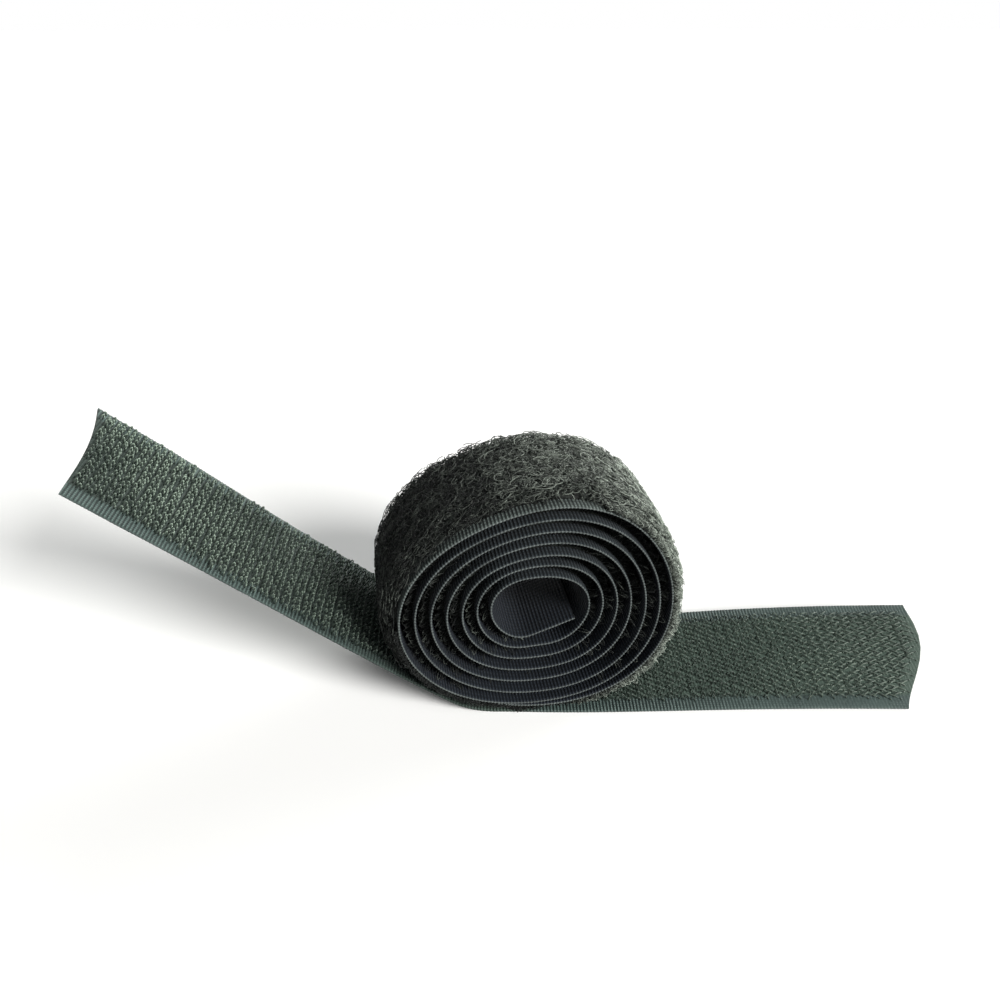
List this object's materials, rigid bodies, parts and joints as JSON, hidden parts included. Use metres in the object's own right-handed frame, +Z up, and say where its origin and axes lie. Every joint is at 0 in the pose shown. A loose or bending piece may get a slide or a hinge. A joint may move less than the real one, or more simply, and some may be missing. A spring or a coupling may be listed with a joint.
{
  "type": "hook and loop tape roll",
  "caption": "Loose roll of loop tape, fuzzy side out, sitting hooked on a strip of hook tape with a raised end and a flat end.",
  "frame": {"origin": "on the underside of the hook strip, halfway across it, below the middle of the roll", "axes": "+X along the hook strip towards its flat end, +Y across the strip towards the back, +Z up"},
  "size_m": [0.1548, 0.031, 0.0524],
  "materials": {
    "loop_ground": "dense ribbed weave",
    "loop_pile": "soft looped pile",
    "hook_ground": "dense ribbed weave",
    "hooks": "satin monofilament"
  },
  "bodies": {
    "strip_base": {"hook_tape_base_ground": "hook_ground", "hook_tape_base_bed": "hooks", "hook_tape_base_hooks": "hooks"},
    "strip_left_end": {"hook_tape_left_end_ground": "hook_ground", "hook_tape_left_end_hooks": "hooks"},
    "strip_right_end": {"hook_tape_right_end_ground": "hook_ground", "hook_tape_right_end_hooks": "hooks"},
    "loop_roll": {"loop_tape_ground": "loop_ground", "loop_tape_pile": "loop_pile"}
  },
  "joints": [
    {"name": "roll_lift", "type": "slide", "parent": "strip_base", "child": "loop_roll", "axis": [0, 0, 1], "range_m": [0, 0.06]},
    {"name": "left_end_flex", "type": "hinge", "parent": "strip_base", "child": "strip_left_end", "pos_m": [-0.02404, 0, 0.01019], "axis": [0, 1, 0], "range_deg": [-48, 0], "stiffness_Nm_per_rad": 0.005, "springref_deg": 2.86},
    {"name": "right_end_flex", "type": "hinge", "parent": "strip_base", "child": "strip_right_end", "pos_m": [0.02915, -0.00012, 0.00193], "axis": [0, -0.9966, -0.0827], "range_deg": [0, 75]}
  ]
}
